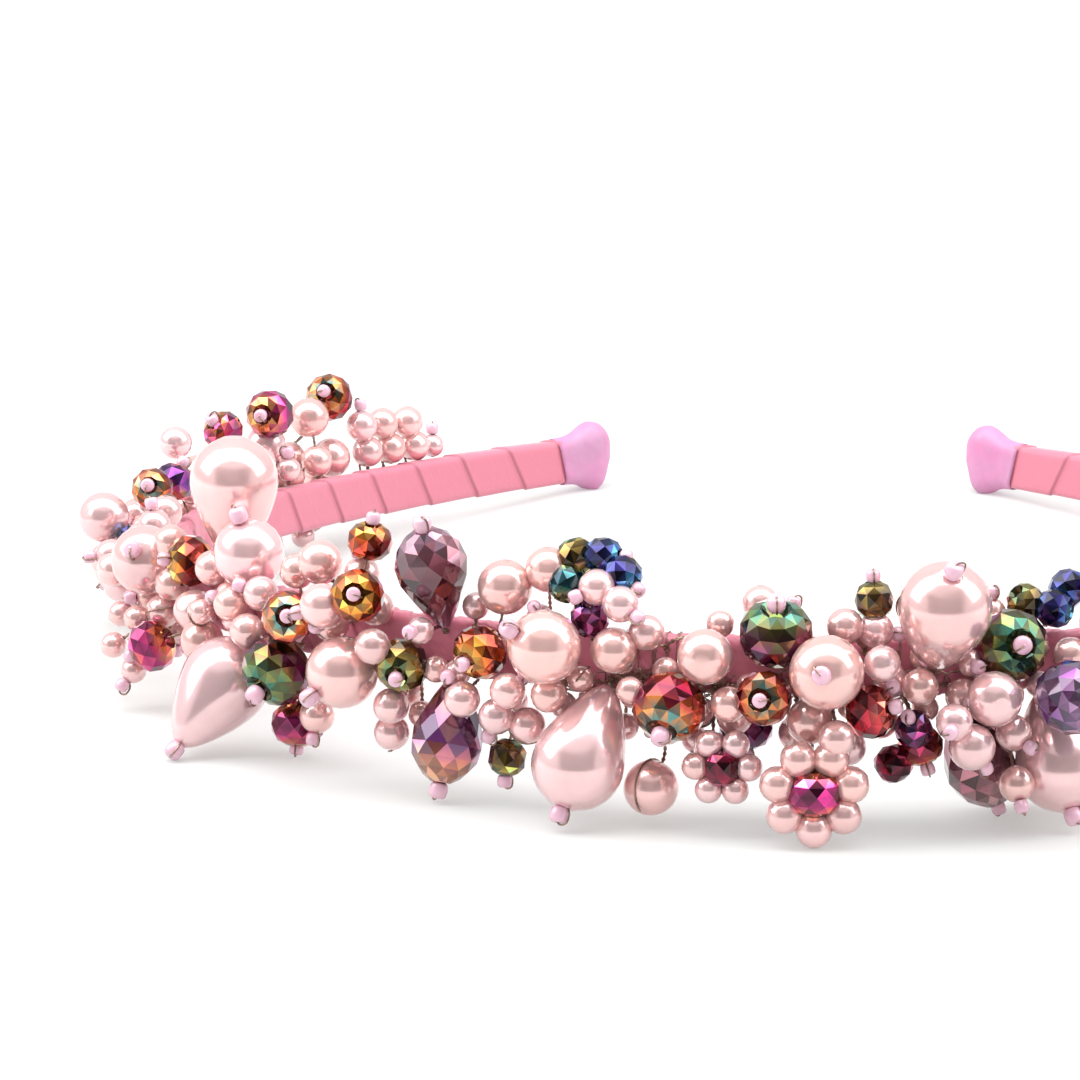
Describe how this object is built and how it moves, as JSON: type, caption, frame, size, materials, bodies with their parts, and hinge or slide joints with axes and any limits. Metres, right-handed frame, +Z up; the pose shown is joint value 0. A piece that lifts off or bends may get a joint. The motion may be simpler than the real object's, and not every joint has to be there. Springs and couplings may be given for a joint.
{
  "type": "beaded headband",
  "caption": "Narrow ribbon-wrapped headband with a moulded sleeve on each end and wired pearls and cut beads standing out all round the crown, lying on its side.",
  "frame": {"origin": "bottom centre of the bounding box: under the middle of the headband, on the surface that it lies on", "axes": "+Z up from the surface, +Y from the crown towards the open end, +X to the right seen from the crown; the headband lies on its side"},
  "size_m": [0.1662, 0.1562, 0.0324],
  "materials": {
    "ribbon": "satin ribbon wound in slanting turns",
    "end_cap": "smooth moulded, satin",
    "pearl": "pearl coating",
    "cut_bead": "faceted, iridescent metallic coating",
    "briolette": "faceted, translucent",
    "seed_bead": "milky",
    "wire": "dark bronze"
  },
  "bodies": {
    "root": {"ribbon_band": "ribbon", "end_cap_left": "end_cap", "end_cap_right": "end_cap", "drop_pearl_low": "pearl", "drop_pearl_high": "pearl", "drop_pearl_outer": "pearl", "pearl_centre": "pearl", "pearl_beside_drop": "pearl", "pearl_small_centre": "pearl", "pearl_small_low": "pearl", "pearl_small_outer": "pearl", "briolette_low": "briolette", "briolette_outer": "briolette", "rondelle_beside_drop": "cut_bead", "rondelle_high": "cut_bead", "rondelle_outer": "cut_bead", "rondelle_centre": "cut_bead", "rondelle_under_band": "cut_bead", "rondelle_red": "cut_bead", "flower_small": "pearl", "flower_large": "pearl", "spray_crystals": "cut_bead", "spray_upper_left": "pearl", "spray_upper_right": "pearl", "spray_pair": "pearl", "spray_dark": "cut_bead", "spray_lower_right": "pearl", "spray_blue": "cut_bead", "spray_pearl_and_rondelle": "cut_bead", "spray_lower_left": "pearl", "briolette_high_left": "briolette", "briolette_hanging_left": "briolette", "pearl_temple_front_left": "pearl", "pearl_temple_high_left": "pearl", "pearl_temple_left": "pearl", "rondelle_temple_left": "cut_bead", "drop_pearl_hanging_left": "pearl", "drop_pearl_upright_left": "pearl", "spray_olive_left": "cut_bead", "spray_temple_row_left": "cut_bead", "spray_green_left": "cut_bead", "spray_temple_upper_left": "cut_bead", "spray_temple_lower_left": "cut_bead", "spray_behind_ear_left": "cut_bead", "spray_arm_left": "cut_bead", "briolette_high_right": "briolette", "briolette_hanging_right": "briolette", "pearl_temple_front_right": "pearl", "pearl_temple_high_right": "pearl", "pearl_temple_right": "pearl", "rondelle_temple_right": "cut_bead", "drop_pearl_hanging_right": "pearl", "drop_pearl_upright_right": "pearl", "spray_olive_right": "cut_bead", "spray_temple_row_right": "cut_bead", "spray_green_right": "cut_bead", "spray_temple_upper_right": "cut_bead", "spray_temple_lower_right": "cut_bead", "spray_behind_ear_right": "cut_bead", "spray_arm_right": "cut_bead"}
  },
  "joints": []
}
